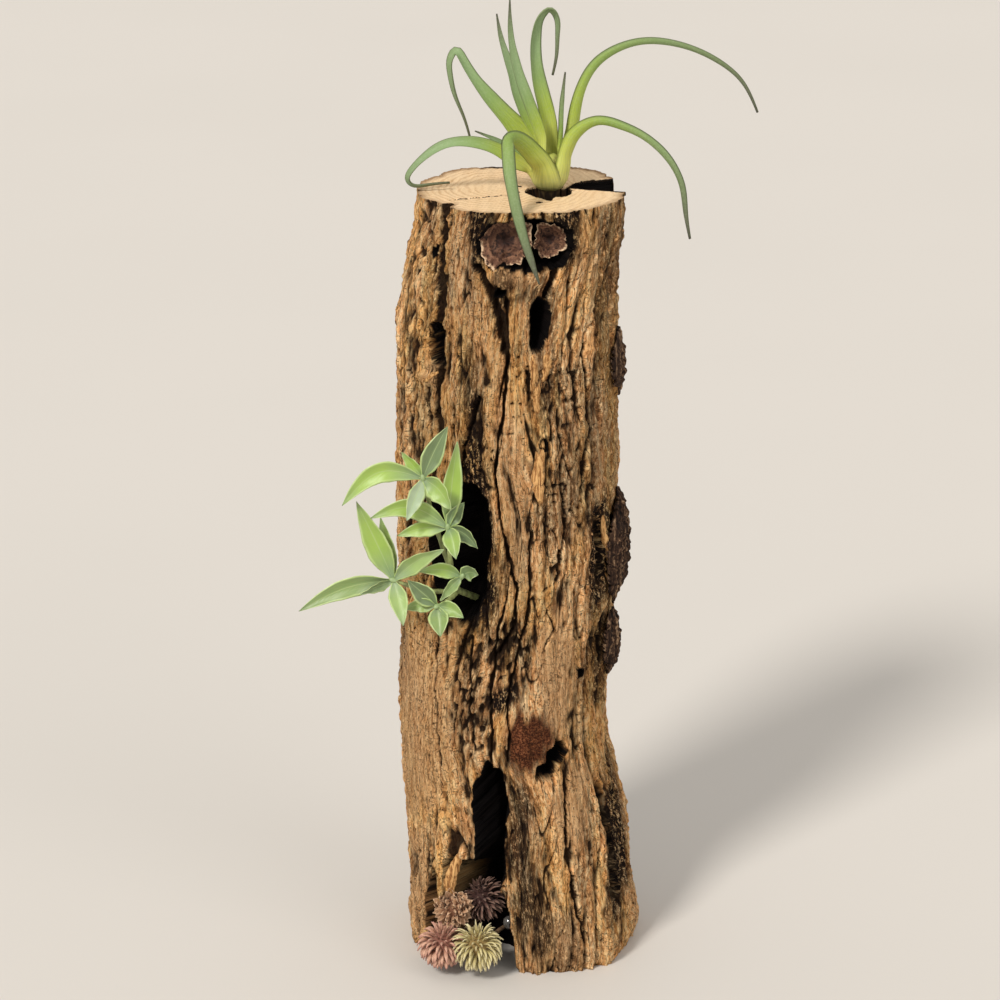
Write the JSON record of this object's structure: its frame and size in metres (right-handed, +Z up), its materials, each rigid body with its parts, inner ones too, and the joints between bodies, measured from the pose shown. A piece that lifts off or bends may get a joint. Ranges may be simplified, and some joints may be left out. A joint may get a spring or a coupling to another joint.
{
  "type": "air plant holder",
  "caption": "Weathered upright wood trunk with a top pocket for an air plant, a leafy sprig in a side hollow and dry flower heads in the hollow at its foot.",
  "frame": {"origin": "middle of the trunk's sawn base, on the surface it stands on", "axes": "+Z up along the trunk, -Y towards the side with the slot and the flower heads, +X to that viewer's right"},
  "size_m": [0.1682, 0.0889, 0.37],
  "materials": {
    "weathered_wood": "rough",
    "loose_bark": "rough",
    "shelf_fungus": "dry and matt",
    "plant_bulb": "satin",
    "air_plant_leaf": "satin",
    "sprig_stem": "satin",
    "sprig_leaf": "satin",
    "dry_stem": "dry and matt",
    "glue": "glossy",
    "dry_flower_mauve": "dry and matt",
    "dry_flower_tan": "dry and matt",
    "dry_flower_rose": "dry and matt",
    "dry_flower_green": "dry and matt"
  },
  "bodies": {
    "log": {"bark_strip_lower": "loose_bark", "bark_strip_middle": "loose_bark", "bark_strip_upper": "loose_bark", "flower_head_green": "dry_flower_green", "flower_head_mauve": "dry_flower_mauve", "flower_head_rose": "dry_flower_rose", "flower_head_tan": "dry_flower_tan", "flower_stem_green": "dry_stem", "flower_stem_mauve": "dry_stem", "flower_stem_rose": "dry_stem", "flower_stem_tan": "dry_stem", "fungus_shelf_large": "shelf_fungus", "fungus_shelf_small": "shelf_fungus", "glue_bead": "glue", "log_trunk": "weathered_wood"},
    "air_plant": {"plant_base": "plant_bulb", "leaf_arch_high_right": "air_plant_leaf", "leaf_arch_low_right": "air_plant_leaf", "leaf_bent_left": "air_plant_leaf", "leaf_curl_left": "air_plant_leaf", "leaf_droop_front": "air_plant_leaf", "leaf_loop": "air_plant_leaf", "leaf_spike_left": "air_plant_leaf", "leaf_spike_right": "air_plant_leaf", "leaf_upright_back": "air_plant_leaf", "leaf_upright_front": "air_plant_leaf"},
    "sprig": {"sprig_stem": "sprig_stem", "sprig_spray_a": "sprig_leaf", "sprig_spray_b": "sprig_leaf", "sprig_spray_c": "sprig_leaf", "sprig_spray_d": "sprig_leaf", "sprig_spray_e": "sprig_leaf"}
  },
  "joints": [
    {"name": "air_plant_lift", "type": "slide", "parent": "log", "child": "air_plant", "axis": [0, 0, 1], "range_m": [0, 0.06]},
    {"name": "sprig_pull", "type": "slide", "parent": "log", "child": "sprig", "axis": [-0.6186, -0.5987, 0.5089], "range_m": [0, 0.06]}
  ]
}
